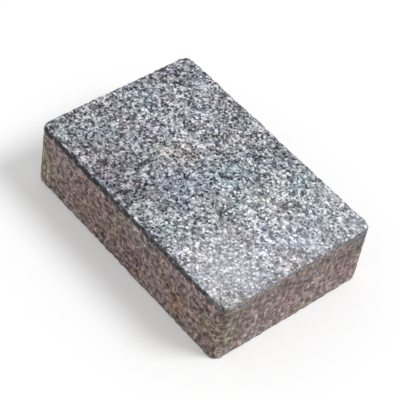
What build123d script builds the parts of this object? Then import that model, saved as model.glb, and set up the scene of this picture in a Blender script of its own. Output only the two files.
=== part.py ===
from build123d import *

import os

# Concrete paving tile: one block of dry concrete pressed in a steel mould, granite mix uppermost.
# Millimetres. The origin is at the middle of the underside, +X along the length, +Z up.

# Driving dimensions
length = 300.0
width = 200.0
thickness = 80.0

# The mould has rounded corners, so the block comes out with them over its full height.
corner_radius = 12.0

# The top arris is eased by the pressing shoe and then worn by handling and feet. It loses
# little along the sides, where the neighbours shelter it, and more at the four corners.
arris_drop = 2.0
arris_inset = 2.5
worn_corner_radius = 14.0
arris_runout_radius = 2.0

# The lower rim is left nearly square by the pallet that the block is pressed on.
lower_rim_radius = 1.5

# An edge lies at a level when both its ends of height are within this of it.
level_tolerance = 0.01


def edges_at(block, level):
    """Edges of the block that lie flat at one level."""
    return block.edges().filter_by(
        lambda edge: abs(edge.bounding_box().min.Z - level) < level_tolerance
        and abs(edge.bounding_box().max.Z - level) < level_tolerance
    )


def mould_outline(level):
    """The plan that the mould gives the block, at one level."""
    return Pos(0, 0, level) * RectangleRounded(length, width, corner_radius)


def worn_outline(level):
    """The plan of the walked-on face inside its worn arris, rounder at the corners."""
    face_length = length - 2 * arris_inset
    face_width = width - 2 * arris_inset
    return Pos(0, 0, level) * RectangleRounded(face_length, face_width, worn_corner_radius)


def pressed_body():
    """The straight-sided part of the block, from the bed up to the arris."""
    return extrude(mould_outline(0), amount=thickness - arris_drop)


def worn_cap():
    """The last of the height, drawn in from the mould's outline to the worn one."""
    return loft([mould_outline(thickness - arris_drop), worn_outline(thickness)])


def paver():
    """Body and cap as one block, its arris run out softly and its lower rim blunted."""
    block = pressed_body() + worn_cap()
    block = fillet(edges_at(block, thickness), arris_runout_radius)
    block = fillet(edges_at(block, thickness - arris_drop), arris_runout_radius)
    return fillet(edges_at(block, 0), lower_rim_radius)


paving_tile = paver()
paving_tile.label = "paving_tile"

os.makedirs("parts", exist_ok=True)
export_step(paving_tile, "parts/paving_tile.step")

litre = 1e6
size = paving_tile.bounding_box().size
print("volume in litres", round(paving_tile.volume / litre, 3))
print("size", round(size.X, 3), round(size.Y, 3), round(size.Z, 3))
print("solids", len(paving_tile.solids()), "valid", paving_tile.is_valid)
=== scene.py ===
import math
from types import SimpleNamespace

import bmesh
import bpy
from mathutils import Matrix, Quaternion, Vector, noise


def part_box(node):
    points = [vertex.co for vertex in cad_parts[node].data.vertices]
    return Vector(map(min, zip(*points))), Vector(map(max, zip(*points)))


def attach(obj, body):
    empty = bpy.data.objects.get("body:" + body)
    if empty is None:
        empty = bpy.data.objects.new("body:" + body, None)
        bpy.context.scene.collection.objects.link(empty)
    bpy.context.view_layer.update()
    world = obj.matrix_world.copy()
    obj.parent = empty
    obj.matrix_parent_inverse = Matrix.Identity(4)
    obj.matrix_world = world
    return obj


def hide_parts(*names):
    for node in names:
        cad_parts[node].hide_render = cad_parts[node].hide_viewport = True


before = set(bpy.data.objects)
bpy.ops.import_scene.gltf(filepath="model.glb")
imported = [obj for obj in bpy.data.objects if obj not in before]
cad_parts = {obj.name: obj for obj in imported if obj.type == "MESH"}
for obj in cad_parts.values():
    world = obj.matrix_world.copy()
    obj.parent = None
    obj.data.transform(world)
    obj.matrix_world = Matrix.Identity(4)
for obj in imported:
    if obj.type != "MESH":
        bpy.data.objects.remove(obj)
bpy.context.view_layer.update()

# The paving tile. One block of damp, dry-mixed concrete pressed in a steel mould: brown-grey body
# concrete, and on it, in the same stroke, a thin mix of crushed granite that is washed open. It is
# stripped straight up, so its sides are drawn and porous, and its arrises crumble a little.
tile_low, tile_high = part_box("paving_tile")
tile_size = tile_high - tile_low
tile_middle = (tile_low + tile_high) / 2
half_length = tile_size.x / 2
half_width = tile_size.y / 2
top_level = tile_high.z

# The cells of its surface are small beside the arris, where it is chipped, and larger elsewhere.
# Each inner stretch is divided in steps, because one step makes a hundred cells at most. The
# underside is plain and lies on the bed, so it is thinned out to a share of its cells.
mould_clearance = 0.0005
rim_width = 0.008
rim_steps = (9,)
length_axis = 0
width_axis = 1
upright_axis = 2
inner_steps = {length_axis: (19, 12), width_axis: (12, 12), upright_axis: (46,)}
bed_share = 0.12


def deselect_all():
    """Goes to object mode and selects nothing, because the loaded solid comes in selected."""
    if bpy.context.mode != "OBJECT":
        bpy.ops.object.mode_set(mode="OBJECT")
    bpy.ops.object.select_all(action="DESELECT")


def pick(piece):
    """Makes one piece the selected and active object."""
    deselect_all()
    piece.select_set(True)
    bpy.context.view_layer.objects.active = piece


def cut_across(axis, place):
    """Cuts the blank right through at one place along an axis, keeping both sides."""
    normal = [0.0, 0.0, 0.0]
    normal[axis] = 1.0
    point = [0.0, 0.0, 0.0]
    point[axis] = place
    bpy.ops.mesh.select_all(action="SELECT")
    bpy.ops.mesh.bisect(plane_co=point, plane_no=normal)
    bpy.ops.mesh.select_all(action="DESELECT")


def divide_strip(piece, axis, low, high, steps):
    """Divides the edges that run along an axis between two places, step by step."""
    tolerance = 1e-5
    for cells in steps:
        mesh = bmesh.from_edit_mesh(piece.data)
        for edge in mesh.edges:
            start, end = sorted(vertex.co[axis] for vertex in edge.verts)
            runs_along = end - start > tolerance
            edge.select_set(runs_along and start > low - tolerance and end < high + tolerance)
        bmesh.update_edit_mesh(piece.data)
        bpy.ops.mesh.subdivide(number_cuts=cells - 1)
        bpy.ops.mesh.select_all(action="DESELECT")


deselect_all()
blank_size = tile_size + Vector((1, 1, 1)) * mould_clearance * 2
bpy.ops.mesh.primitive_cube_add(size=1, location=tile_middle, scale=blank_size)
tile = bpy.context.active_object
tile.name = "pressed_tile"
bpy.ops.object.transform_apply(location=True, rotation=True, scale=True)
bpy.ops.object.mode_set(mode="EDIT")
for axis, steps in inner_steps.items():
    low = tile_low[axis] - mould_clearance
    high = tile_high[axis] + mould_clearance
    has_lower_rim = axis != upright_axis
    inner_low = low + rim_width if has_lower_rim else low
    inner_high = high - rim_width
    cut_across(axis, inner_high)
    divide_strip(tile, axis, inner_high, high, rim_steps)
    if has_lower_rim:
        cut_across(axis, inner_low)
        divide_strip(tile, axis, low, inner_low, rim_steps)
    divide_strip(tile, axis, inner_low, inner_high, steps)
deselect_all()


def apply_last_modifier(piece):
    """Applies the modifier that was added last."""
    pick(piece)
    bpy.ops.object.modifier_apply(modifier=piece.modifiers[-1].name)


wrap = tile.modifiers.new("mould", "SHRINKWRAP")
wrap.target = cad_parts["paving_tile"]
wrap.wrap_method = "NEAREST_SURFACEPOINT"
apply_last_modifier(tile)


def in_from_sides(place):
    """How far a place is inside the nearest side of the tile."""
    return min(half_length - abs(place.x), half_width - abs(place.y))


facing_down = -0.99
pick(tile)
bpy.ops.object.mode_set(mode="EDIT")
bpy.ops.mesh.select_all(action="DESELECT")
mesh = bmesh.from_edit_mesh(tile.data)
for face in mesh.faces:
    faces_bed = face.normal.z < facing_down
    face.select_set(faces_bed and in_from_sides(face.calc_center_median()) > rim_width)
bmesh.update_edit_mesh(tile.data)
bpy.ops.mesh.decimate(ratio=bed_share)
deselect_all()

# The sound surface, before any wear. Its places are kept with the points, for the finish to tell
# the face from the sides by. Its outward directions are there to measure the wear along.
pressed_places = [vertex.co.copy() for vertex in tile.data.vertices]
pressed_normals = [vertex.normal.copy() for vertex in tile.data.vertices]
kept_places = tile.data.attributes.new("pressed_place", "FLOAT_VECTOR", "POINT")
for point, pressed_place in zip(kept_places.data, pressed_places):
    point.vector = pressed_place

# Where each kind of relief acts, as weights of the points. Blow holes come in patches.
arris_reach = 0.0035
lower_rim_reach = 0.004
blow_hole_patch = 0.022
blow_hole_crowding = 3
for group in ("face", "sides", "arris", "lower_rim", "blow_holes"):
    tile.vertex_groups.new(name=group)


def fade(distance, reach):
    """One at no distance, falling off smoothly to nearly nothing at twice the reach."""
    return math.exp(-((distance / reach) ** 2))


def weigh(vertex, group, weight):
    """Gives a point its weight in one of the groups."""
    tile.vertex_groups[group].add([vertex.index], max(weight, 0.0), "REPLACE")


for vertex in tile.data.vertices:
    place = vertex.co
    below_top = top_level - place.z
    in_from_side = in_from_sides(place)
    up = vertex.normal.z
    on_side = 1 - abs(up)
    blow_hole_chance = min(noise.noise(place / blow_hole_patch) * blow_hole_crowding, 1.0)
    weigh(vertex, "face", max(up, 0.0) ** 2)
    weigh(vertex, "sides", on_side)
    weigh(vertex, "arris", fade(math.hypot(below_top, in_from_side), arris_reach))
    weigh(vertex, "lower_rim", fade(math.hypot(place.z, in_from_side), lower_rim_reach))
    weigh(vertex, "blow_holes", on_side * blow_hole_chance)


def texture(name, kind, size, contrast=1.0, **settings):
    """A texture of one grain size, for the relief that a displacement gives."""
    made = bpy.data.textures.new(name, kind)
    made.noise_scale = size
    made.contrast = contrast
    for key, value in settings.items():
        setattr(made, key, value)
    return made


def relieve(piece, pattern, depth, group):
    """Sinks the surface by a pattern, up to a depth where the pattern is darkest."""
    relief = piece.modifiers.new(pattern.name, "DISPLACE")
    relief.texture = pattern
    relief.texture_coords = "LOCAL"
    relief.strength = depth
    relief.mid_level = 1.0
    relief.vertex_group = group
    apply_last_modifier(piece)


waves = texture("waves", "CLOUDS", size=0.045, noise_depth=1)
grit = texture("grit", "VORONOI", size=0.0038, distance_metric="DISTANCE")
grit_clumps = texture("grit_clumps", "CLOUDS", size=0.005, contrast=2.0, noise_depth=2)
side_skin = texture("side_skin", "CLOUDS", size=0.005, contrast=1.4, noise_depth=2)
blow_holes = texture("blow_holes", "VORONOI", size=0.0085, contrast=3.5, intensity=1.6)
crumbling = texture("crumbling", "CLOUDS", size=0.006, contrast=2.0, noise_depth=2)
rim_crumbling = texture("rim_crumbling", "CLOUDS", size=0.009, contrast=2.0, noise_depth=2)
relieve(tile, waves, depth=0.0006, group="face")
relieve(tile, grit, depth=0.0009, group="face")
relieve(tile, grit_clumps, depth=0.0010, group="face")
relieve(tile, side_skin, depth=0.0004, group="sides")
relieve(tile, blow_holes, depth=0.0016, group="blow_holes")
relieve(tile, crumbling, depth=0.0014, group="arris")
relieve(tile, rim_crumbling, depth=0.0009, group="lower_rim")

# Nothing stands proud of the mould. How deep each point is sunk is also kept with the points,
# for the painted shade in the hollows.
relief_depth = tile.data.attributes.new("relief_depth", "FLOAT", "POINT")
worn_vertices = zip(relief_depth.data, tile.data.vertices, pressed_places, pressed_normals)
for point, vertex, pressed_place, pressed_normal in worn_vertices:
    depth = (pressed_place - vertex.co).dot(pressed_normal)
    if depth < 0:
        vertex.co = pressed_place
    point.value = max(depth, 0.0)

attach(tile, "root")
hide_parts("paving_tile")

# The finish of the tile, laid down as it is made: crushed granite in grey cement on the face, and
# a sandy brown-grey body below, where the mix on top ends in an uneven line under the arris.
finish = bpy.data.materials.new("pressed_concrete")
finish.use_nodes = True
nodes = finish.node_tree.nodes
links = finish.node_tree.links
nodes.clear()


def feed(socket, value):
    """Gives a socket a fixed value, or links another node's output to it."""
    if isinstance(value, bpy.types.NodeSocket):
        links.new(value, socket)
    elif socket.type == "RGBA" and len(value) == 3:
        socket.default_value = (*value, 1.0)
    else:
        socket.default_value = value


def reckon(operation, first, second=0.0, third=0.0):
    """One step of arithmetic on numbers."""
    node = nodes.new("ShaderNodeMath")
    node.operation = operation
    for socket, value in zip(node.inputs, (first, second, third)):
        feed(socket, value)
    return node.outputs[0]


def product(*factors):
    """Several numbers multiplied together."""
    result = factors[0]
    for factor in factors[1:]:
        result = reckon("MULTIPLY", result, factor)
    return result


def less(amount):
    """What is left of one."""
    return reckon("SUBTRACT", 1.0, amount)


def between(value, low, high, out_low=0.0, out_high=1.0):
    """Goes smoothly from one number to another while the value goes from low to high."""
    node = nodes.new("ShaderNodeMapRange")
    node.interpolation_type = "SMOOTHSTEP"
    feed(node.inputs["Value"], value)
    feed(node.inputs["From Min"], low)
    feed(node.inputs["From Max"], high)
    feed(node.inputs["To Min"], out_low)
    feed(node.inputs["To Max"], out_high)
    return node.outputs["Result"]


def vectors(operation, first, second, third=None):
    """One step of arithmetic on places or colours."""
    node = nodes.new("ShaderNodeVectorMath")
    node.operation = operation
    feed(node.inputs[0], first)
    feed(node.inputs[1], second)
    if third is not None:
        feed(node.inputs[2], third)
    return node.outputs["Value" if operation == "DISTANCE" else "Vector"]


def lit(colour, amount):
    """A colour made lighter or darker by a number."""
    node = nodes.new("ShaderNodeVectorMath")
    node.operation = "SCALE"
    feed(node.inputs[0], colour)
    feed(node.inputs["Scale"], amount)
    return node.outputs[0]


def blend(amount, first, second, way="MIX"):
    """Two colours blended by an amount."""
    node = nodes.new("ShaderNodeMix")
    node.data_type = "RGBA"
    node.blend_type = way
    feed(node.inputs["Factor"], amount)
    colours = [socket for socket in node.inputs if socket.type == "RGBA"]
    feed(colours[0], first)
    feed(colours[1], second)
    return next(socket for socket in node.outputs if socket.type == "RGBA")


def tones(value, stops):
    """A colour ramp through its stops."""
    node = nodes.new("ShaderNodeValToRGB")
    node.color_ramp.interpolation = "LINEAR"
    elements = node.color_ramp.elements
    while len(elements) < len(stops):
        elements.new(0.5)
    for element, (position, colour) in zip(elements, stops):
        element.position = position
        element.color = (*colour, 1.0)
    feed(node.inputs["Fac"], value)
    return node.outputs["Color"]


def mottle(place, size, detail=2.0, roughness=0.5, output="Fac"):
    """Soft noise with patches of one size, as one number or as three in a colour."""
    node = nodes.new("ShaderNodeTexNoise")
    feed(node.inputs["Vector"], place)
    node.inputs["Scale"].default_value = 1 / size
    node.inputs["Detail"].default_value = detail
    node.inputs["Roughness"].default_value = roughness
    return node.outputs[output]


def patchy(place, size, low, high, detail=2.0, roughness=0.5):
    """A number that goes from one value to another in soft patches of one size."""
    return between(mottle(place, size, detail, roughness), 0.3, 0.7, low, high)


def bent(place, size, amount):
    """A place moved about by soft noise, so that what is drawn there has uneven outlines."""
    swing = vectors("SUBTRACT", mottle(place, size, 1.0, output="Color"), (0.5, 0.5, 0.5))
    return vectors("MULTIPLY_ADD", swing, (amount, amount, amount), place)


def grains(place, size):
    """Cells of one size: how far a point is from its grain's middle, and two chance numbers."""
    node = nodes.new("ShaderNodeTexVoronoi")
    feed(node.inputs["Vector"], place)
    node.inputs["Scale"].default_value = 1 / size
    chances = nodes.new("ShaderNodeSeparateColor")
    links.new(node.outputs["Color"], chances.inputs[0])
    return SimpleNamespace(
        distance=node.outputs["Distance"],
        chance=chances.outputs[0],
        shown=chances.outputs[1],
    )


def clouded(colour, place, clouds):
    """Tints a colour in soft clouds: each has a middle, a reach and a tint."""
    for middle, reach, tint in clouds:
        strength = between(vectors("DISTANCE", place, middle), reach, 0.0)
        colour = blend(strength, colour, blend(1.0, colour, tint, "MULTIPLY"))
    return colour


def kept_with_points(name, output):
    """Reads what the mesh keeps with its points under a name."""
    node = nodes.new("ShaderNodeAttribute")
    node.attribute_name = name
    return node.outputs[output]


place = nodes.new("ShaderNodeTexCoord").outputs["Object"]
axes = nodes.new("ShaderNodeSeparateXYZ")
links.new(kept_with_points("pressed_place", "Vector"), axes.inputs[0])
along, across, height = axes.outputs
sunk_depth = kept_with_points("relief_depth", "Fac")

# Grains are broken stone, so their outlines are bent out of round. Light ones crowd together in
# some spots and dark ones in others, and more so towards the far end of the face.
broken_place = bent(place, size=0.0022, amount=0.0016)
crowding = reckon("SUBTRACT", mottle(place, size=0.0058, roughness=0.6), 0.5)
clumping = product(crowding, between(along, 0.10, -0.13, 1.0, 2.0))

# Face mix: fine granite dust, then chips of granite, then a few bright and black ones. The dust
# shows between the chips and where one is missing. The deepest pits are darkened as painted shade.
dust_size = 0.0018
chip_size = 0.0038
glint_size = 0.0060
dust_clumping = 1.2
chip_clumping = 0.6
dust = grains(broken_place, dust_size)
dust_colour = tones(reckon("MULTIPLY_ADD", clumping, dust_clumping, dust.chance), [
    (0.0, (0.045, 0.047, 0.058)),
    (0.3, (0.175, 0.183, 0.210)),
    (0.6, (0.355, 0.367, 0.400)),
    (0.9, (0.590, 0.607, 0.645)),
    (1.0, (0.830, 0.845, 0.880)),
])
chips = grains(broken_place, chip_size)
chip_colour = tones(reckon("MULTIPLY_ADD", clumping, chip_clumping, chips.chance), [
    (0.0, (0.022, 0.024, 0.032)),
    (0.25, (0.080, 0.086, 0.110)),
    (0.5, (0.340, 0.352, 0.385)),
    (0.73, (0.670, 0.680, 0.715)),
    (1.0, (0.900, 0.910, 0.930)),
])
chip_shows = product(between(chips.distance, 0.52, 0.38), between(chips.shown, 0.12, 0.22))
face_colour = blend(chip_shows, dust_colour, chip_colour)
glints = grains(broken_place, glint_size)
glint_colour = tones(glints.chance, [
    (0.0, (0.02, 0.022, 0.03)),
    (0.5, (0.03, 0.033, 0.04)),
    (0.55, (0.85, 0.86, 0.88)),
    (1.0, (0.95, 0.95, 0.96)),
])
glint_shows = product(between(glints.distance, 0.30, 0.20), between(glints.shown, 0.45, 0.55))
face_colour = blend(glint_shows, face_colour, glint_colour)
# Painted shade: the face is darker where the relief sinks it deepest, a little lighter where it
# does not.
pit_painted_shade = between(sunk_depth, 0.0010, 0.0022, 1.10, 0.50)
face_colour = lit(face_colour, pit_painted_shade)
granite_cast = (1.02, 1.01, 1.02)
face_colour = vectors("MULTIPLY", face_colour, granite_cast)

# The mix is spread unevenly, so the face is clouded. A cloud is its middle, along and across the
# tile, its reach and its tint.
face_clouds = [
    # Pale fines, gathered at the near end
    ((0.110, -0.048), 0.092, (1.22, 1.21, 1.23)),
    ((0.120, 0.020), 0.055, (1.08, 1.09, 1.14)),
    ((0.074, 0.038), 0.055, (1.16, 1.13, 1.07)),
    # Dull sandy spots, two on the near edges and one further in
    ((0.150, -0.090), 0.046, (0.92, 0.87, 0.75)),
    ((0.146, 0.008), 0.028, (0.88, 0.84, 0.80)),
    ((0.046, -0.022), 0.036, (0.90, 0.88, 0.82)),
    # A dark bluish band across the middle
    ((0.014, -0.076), 0.048, (0.80, 0.88, 0.86)),
    ((-0.002, -0.030), 0.050, (0.80, 0.87, 0.94)),
    ((0.018, 0.020), 0.050, (0.80, 0.90, 0.92)),
    ((0.028, 0.068), 0.056, (0.88, 0.96, 0.95)),
    # Towards the far end, a dark violet spot, two light ones and two grey ones
    ((-0.050, -0.072), 0.080, (0.75, 0.73, 0.77)),
    ((-0.042, -0.006), 0.034, (1.08, 1.04, 0.92)),
    ((-0.072, 0.024), 0.056, (1.24, 1.20, 1.24)),
    ((-0.030, 0.072), 0.045, (0.92, 0.92, 0.90)),
    ((-0.112, 0.026), 0.050, (0.84, 0.88, 0.87)),
]
cloud_place = bent(place, size=0.030, amount=0.030)
face_colour = clouded(face_colour, cloud_place, [
    ((*middle, top_level), reach, tint) for middle, reach, tint in face_clouds
])

# Over that, chance spots of bluish and sandy tint, smaller ones where a mineral gathers, and a
# slow change from a darker far end to a lighter near one.
cloud_tint = tones(mottle(place, size=0.045, detail=1.0), [
    (0.30, (0.94, 1.005, 1.02)),
    (0.45, (0.985, 1.005, 1.00)),
    (0.55, (1.02, 0.992, 1.01)),
    (0.70, (1.05, 1.00, 0.96)),
])
face_colour = blend(1.0, face_colour, cloud_tint, "MULTIPLY")
mineral_spots = mottle(place, size=0.012, output="Color")
mineral_tint = vectors("MULTIPLY_ADD", mineral_spots, (0.20, 0.14, 0.20), (0.90, 0.93, 0.90))
face_colour = vectors("MULTIPLY", face_colour, mineral_tint)
cloud_light = patchy(place, size=0.030, low=0.90, high=1.10)
lengthwise_light = between(along, -0.12, 0.14, 0.86, 1.08)
face_colour = lit(face_colour, product(cloud_light, lengthwise_light))

# A thin film of the pale fines dulls the near end, and one patch there most.
filmed_patch = (0.106, -0.056, top_level)
filmed_reach = 0.060
film_colour = (0.62, 0.63, 0.67)
film_strength = patchy(place, size=0.040, low=0.10, high=0.24)
film = product(between(along, 0.02, 0.13), film_strength)
from_patch = vectors("DISTANCE", cloud_place, filmed_patch)
film = reckon("ADD", film, between(from_patch, filmed_reach, 0.0, 0.0, 0.24))
face_colour = blend(film, face_colour, film_colour)

# Body concrete: sand and cement, pinkish in places, olive or rusty in others. Single grains of
# its gravel show through the skin, and so do pores. The mould has drawn it upwards.
body_colour = tones(mottle(place, size=0.024, detail=3.0, roughness=0.55), [
    (0.32, (0.238, 0.214, 0.183)),
    (0.46, (0.264, 0.212, 0.197)),
    (0.56, (0.283, 0.208, 0.208)),
    (0.68, (0.257, 0.216, 0.217)),
])
rust_colour = (0.290, 0.195, 0.148)
rusty = between(mottle(place, size=0.017), 0.56, 0.70)
body_colour = blend(rusty, body_colour, rust_colour)

# The clouds of the near long side, by their middles along and up it, and of the near end, by
# their middles across and up it.
side_clouds = [
    ((-0.065, 0.045), 0.050, (1.08, 0.95, 0.96)),
    ((0.012, 0.030), 0.036, (1.02, 0.88, 0.96)),
    ((-0.020, 0.036), 0.026, (1.05, 1.03, 0.84)),
    ((0.086, 0.030), 0.030, (1.14, 0.99, 0.76)),
    ((-0.135, 0.035), 0.042, (1.00, 1.03, 0.84)),
    ((half_length, 0.040), 0.050, (0.98, 1.03, 0.84)),
]
end_clouds = [
    ((-0.005, 0.030), 0.034, (1.08, 0.94, 0.96)),
    ((0.074, 0.030), 0.034, (1.05, 0.90, 0.96)),
    ((0.068, 0.044), 0.024, (0.83, 0.79, 0.82)),
]
side_cloud_place = bent(place, size=0.020, amount=0.016)
body_colour = clouded(body_colour, side_cloud_place, [
    ((x, -half_width, z), reach, tint) for (x, z), reach, tint in side_clouds
])
body_colour = clouded(body_colour, side_cloud_place, [
    ((half_length, y, z), reach, tint) for (y, z), reach, tint in end_clouds
])

# Sand, gravel, drawing marks and patches make the body lighter or darker. Its pores and deeper
# hollows, blow holes most, are darkened as painted shade, and its lower rim is darker. Above the
# rim, painted bounce light from the floor makes it a little lighter towards the bottom.
sand_size = 0.0013
gravel_size = 0.0042
pore_size = 0.0052
drawing_stretch = 0.16
sand = grains(broken_place, sand_size)
sand_light = between(sand.chance, 0.0, 1.0, 0.64, 1.36)
gravel = grains(broken_place, gravel_size)
gravel_shows = product(between(gravel.distance, 0.52, 0.34), between(gravel.shown, 0.35, 0.50))
gravel_shade = between(gravel.chance, 0.0, 1.0, -0.74, 0.95)
gravel_light = reckon("MULTIPLY_ADD", gravel_shows, gravel_shade, 1.0)
drawn_place = vectors("MULTIPLY", place, (1.0, 1.0, drawing_stretch))
drawn_light = patchy(drawn_place, size=0.0050, low=0.80, high=1.20, detail=3.0, roughness=0.6)
pores = grains(broken_place, pore_size)
pore = product(between(pores.distance, 0.24, 0.14), between(pores.shown, 0.50, 0.60))
# Painted shade: the pores are darker inside.
pore_painted_shade = between(pore, 0.0, 1.0, 1.0, 0.42)
patch_light = patchy(place, size=0.0053, low=0.44, high=1.56, detail=1.0)
# Painted shade: the body is darker where the relief sinks it deepest, in blow holes most.
hollow_painted_shade = between(sunk_depth, 0.0006, 0.0018, 1.05, 0.55)
lower_rim_light = between(height, 0.0, 0.004, 0.74, 1.0)
# Painted bounce light from the floor: the body is lighter towards the bottom.
painted_bounce_light = between(height, 0.0, 0.055, 1.13, 0.97)
grain_light_and_pore_shade = product(sand_light, gravel_light, drawn_light, pore_painted_shade, patch_light)
body_tone_and_painted_light = product(grain_light_and_pore_shade, hollow_painted_shade, lower_rim_light, painted_bounce_light)
body_colour = lit(body_colour, body_tone_and_painted_light)

# How far a point is below the face, and whether it is on an end or on a long side.
below_face = reckon("SUBTRACT", top_level, height)
from_end = reckon("SUBTRACT", half_length, reckon("ABSOLUTE", along))
from_side = reckon("SUBTRACT", half_width, reckon("ABSOLUTE", across))
on_end = between(reckon("SUBTRACT", from_side, from_end), -0.004, 0.004)

# The washed face ends in an uneven line within the arris on the near side and the near end, and
# a little lower at the near right corner. It has slumped further down the far side and end.
corner_slump = 0.001
far_end_slump = 0.0014
far_side_slump = 0.0018
slump = mottle(place, size=0.012, detail=3.0, roughness=0.6)
slumped_corner = product(between(across, 0.055, half_width), between(along, 0.0, half_length))
end_depth = between(slump, 0.3, 0.7, -0.0002, 0.0014)
end_depth = reckon("MULTIPLY_ADD", slumped_corner, corner_slump, end_depth)
at_far_end = between(along, half_length, -half_length, 0.0, far_end_slump)
end_depth = reckon("ADD", end_depth, at_far_end)
side_depth = between(slump, 0.3, 0.7, 0.0, 0.0010)
at_far_side = between(across, -half_width, half_width, 0.0, far_side_slump)
side_depth = reckon("ADD", side_depth, at_far_side)
washed_depth = reckon("ADD", product(end_depth, on_end), product(side_depth, less(on_end)))
washed = between(reckon("SUBTRACT", washed_depth, below_face), -0.0004, 0.0004)

# Below it, unwashed, the same mix shows as a grey line. It is thin on the near end beside the
# front corner, wider towards the near right corner, and it hangs down that corner.
narrowest_line = 0.0040
widest_line = 0.0068
thin_share = 0.55
slumped_width = 0.011
hanging_width = 0.014
line_raggedness = 0.008
thin_line = product(on_end, between(across, 0.020, -0.060), between(along, 0.0, half_length))
hanging = product(between(across, 0.080, half_width), between(along, 0.120, half_length))
line_width = patchy(place, 0.016, narrowest_line, widest_line, detail=3.0, roughness=0.6)
line_width = product(line_width, between(thin_line, 0.0, 1.0, 1.0, thin_share))
line_width = reckon("MULTIPLY_ADD", slumped_corner, slumped_width, line_width)
line_width = reckon("MULTIPLY_ADD", hanging, hanging_width, line_width)
line_depth = reckon("ADD", washed_depth, line_width)
line_depth = reckon("MULTIPLY_ADD", crowding, line_raggedness, line_depth)
unwashed = between(reckon("SUBTRACT", line_depth, below_face), -0.0010, 0.0008)

# The line is nearly black on the near side, paler towards the near end and on the far side, and
# mid grey on the ends. It has the body's sand and gravel in it, and a few chips of the face.
side_line_light = product(
    between(mottle(place, size=0.022, detail=1.0), 0.35, 0.65, 0.75, 1.20),
    between(along, 0.0, 0.13, 0.66, 1.30),
    between(across, -half_width, half_width, 1.0, 1.9),
    between(along, 0.120, half_length, 1.0, 1.7),
)
end_line_light = product(
    between(slumped_corner, 0.0, 0.6, 1.0, 0.85),
    between(thin_line, 0.0, 1.0, 1.0, 1.20),
)
side_line = lit((0.062, 0.060, 0.064), side_line_light)
end_line = lit((0.192, 0.183, 0.186), end_line_light)
line_colour = blend(on_end, side_line, end_line)
line_grain_light = product(between(sand.chance, 0.0, 1.0, 0.60, 1.40), gravel_light)
line_colour = lit(line_colour, line_grain_light)
line_chip_colour = (0.45, 0.45, 0.47)
line_chips = product(chip_shows, between(chips.chance, 0.60, 0.85, 0.0, 0.30))
line_colour = blend(line_chips, line_colour, line_chip_colour)

# Just below the line the body is a little lighter on the long sides. On the ends it is darker
# there, but less so under the thin part of the line, and it is greyer all over.
grey_share = 0.20
grey_body = (0.190, 0.175, 0.165)
side_light = between(below_face, 0.024, 0.014, 0.925, 1.06)
side_colour = lit(body_colour, side_light)
under_thin_line = product(thin_line, between(below_face, 0.018, 0.004))
end_light = product(
    between(below_face, 0.044, 0.024, 0.93, 0.77),
    between(under_thin_line, 0.0, 1.0, 1.0, 1.13),
)
end_colour = blend(grey_share, lit(body_colour, end_light), grey_body)
body_colour = blend(on_end, side_colour, end_colour)
colour = blend(unwashed, body_colour, line_colour)
colour = blend(washed, colour, face_colour)

# Concrete is dull, and the broken faces of its pale chips a little less so.
surface = nodes.new("ShaderNodeBsdfPrincipled")
feed(surface.inputs["Base Color"], colour)
feed(surface.inputs["Roughness"], between(chips.chance, 0.0, 1.0, 0.95, 0.68))
surface.inputs["Specular IOR Level"].default_value = 0.35

# The finest relief, as bump: chips and dust on the face, gravel, sand, pores and drawing marks
# on the body.
face_height = reckon("ADD", product(chip_shows, 0.6), between(dust.distance, 0.6, 0.1, 0.0, 0.4))
body_height = reckon("ADD", product(gravel_shows, 0.5), between(sand.distance, 0.6, 0.1, 0.0, 0.35))
body_height = reckon("SUBTRACT", body_height, pore)
body_height = reckon("ADD", body_height, drawn_light)
grain_height = nodes.new("ShaderNodeMix")
feed(grain_height.inputs["Factor"], washed)
feed(grain_height.inputs[2], body_height)
feed(grain_height.inputs[3], face_height)
bump = nodes.new("ShaderNodeBump")
bump.inputs["Strength"].default_value = 0.6
bump.inputs["Distance"].default_value = 0.0006
feed(bump.inputs["Height"], grain_height.outputs[0])
feed(surface.inputs["Normal"], bump.outputs[0])
result = nodes.new("ShaderNodeOutputMaterial")
links.new(surface.outputs[0], result.inputs["Surface"])
tile.data.materials.append(finish)
pick(tile)
bpy.ops.object.shade_smooth()

# The floor: a plain pale board under the tile. It shows white to the eye, keeps the shadow, and
# is clear from below, so that the underside can be seen.
floor_width = 12
floor_gap = 0.0002
floor_light = 0.22


def plainly_seen(tree):
    """One for the rays that show a thing to the eye: straight, mirrored or through glass."""
    path = tree.nodes.new("ShaderNodeLightPath")
    seen = path.outputs["Is Camera Ray"]
    for kind in ("Is Glossy Ray", "Is Transmission Ray"):
        either = tree.nodes.new("ShaderNodeMath")
        either.operation = "MAXIMUM"
        tree.links.new(seen, either.inputs[0])
        tree.links.new(path.outputs[kind], either.inputs[1])
        seen = either.outputs[0]
    return seen


bpy.ops.mesh.primitive_plane_add(size=floor_width, location=(0, 0, -floor_gap))
floor = bpy.context.active_object
floor.name = "floor"
floor_paint = bpy.data.materials.new("floor_paint")
floor_paint.use_nodes = True
floor_nodes = floor_paint.node_tree.nodes
floor_links = floor_paint.node_tree.links
floor_nodes.clear()
matt = floor_nodes.new("ShaderNodeBsdfDiffuse")
matt.inputs["Color"].default_value = (0.80, 0.80, 0.80, 1.0)
glow = floor_nodes.new("ShaderNodeEmission")
glow_strength = floor_nodes.new("ShaderNodeMath")
glow_strength.operation = "MULTIPLY"
floor_links.new(plainly_seen(floor_paint.node_tree), glow_strength.inputs[0])
glow_strength.inputs[1].default_value = floor_light
floor_links.new(glow_strength.outputs[0], glow.inputs["Strength"])
both = floor_nodes.new("ShaderNodeAddShader")
floor_links.new(matt.outputs[0], both.inputs[0])
floor_links.new(glow.outputs[0], both.inputs[1])
clear = floor_nodes.new("ShaderNodeBsdfTransparent")
underneath = floor_nodes.new("ShaderNodeNewGeometry")
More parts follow.
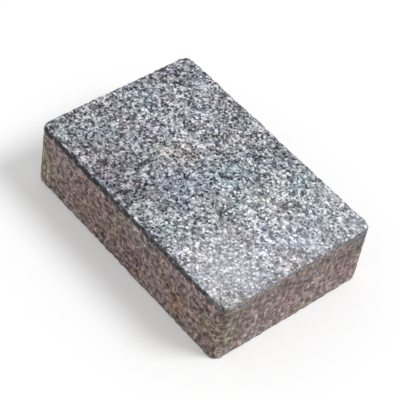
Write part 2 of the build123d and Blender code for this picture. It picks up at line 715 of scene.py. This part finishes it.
one_sided = floor_nodes.new("ShaderNodeMixShader")
floor_links.new(underneath.outputs["Backfacing"], one_sided.inputs[0])
floor_links.new(both.outputs[0], one_sided.inputs[1])
floor_links.new(clear.outputs[0], one_sided.inputs[2])
floor_result = floor_nodes.new("ShaderNodeOutputMaterial")
floor_links.new(one_sided.outputs[0], floor_result.inputs["Surface"])
floor.data.materials.append(floor_paint)

# The light: an even pale room, white to the eye like the floor, and one broad lamp off to the
# right that the near end faces.
room_light = 0.55
world = bpy.data.worlds.new("room")
world.use_nodes = True
bpy.context.scene.world = world
world_nodes = world.node_tree.nodes
world_links = world.node_tree.links
background = world_nodes["Background"]
background.inputs["Color"].default_value = (1.0, 1.0, 1.0, 1.0)
world_strength = world_nodes.new("ShaderNodeMapRange")
world_strength.inputs["To Min"].default_value = room_light
world_strength.inputs["To Max"].default_value = 1.0
world_links.new(plainly_seen(world.node_tree), world_strength.inputs["Value"])
world_links.new(world_strength.outputs["Result"], background.inputs["Strength"])

lamp_turn = math.radians(42)
lamp_height = math.radians(50)
lamp_distance = 3
lamp_direction = Vector((
    math.cos(lamp_turn) * math.cos(lamp_height),
    math.sin(lamp_turn) * math.cos(lamp_height),
    math.sin(lamp_height),
))
bpy.ops.object.light_add(type="SUN", location=lamp_direction * lamp_distance)
lamp = bpy.context.active_object
lamp.name = "broad_lamp"
lamp.rotation_mode = "QUATERNION"
lamp.rotation_quaternion = lamp_direction.to_track_quat("Z", "Y")
lamp.data.energy = 1.85
lamp.data.angle = math.radians(25)

# The camera: a standing person's view of the tile, held a little askew, through a long lens.
view_turn = math.radians(42.5)
view_height = math.radians(47.35)
view_distance = 1.65
view_roll = math.radians(10.7)
picture_width = 36.0
view_lens = 142.3
view_direction = Vector((
    math.sin(view_turn) * math.cos(view_height),
    -math.cos(view_turn) * math.cos(view_height),
    math.sin(view_height),
))
bpy.ops.object.camera_add(location=tile_middle + view_direction * view_distance)
camera = bpy.context.active_object
camera.name = "camera"
camera.rotation_mode = "QUATERNION"
level_view = view_direction.to_track_quat("Z", "Y")
camera.rotation_quaternion = level_view @ Quaternion((0, 0, 1), view_roll)
camera.data.sensor_width = picture_width
camera.data.lens = view_lens
camera.data.clip_start = 0.05
camera.data.clip_end = 50
bpy.context.scene.camera = camera
bpy.context.scene.view_settings.view_transform = "Standard"
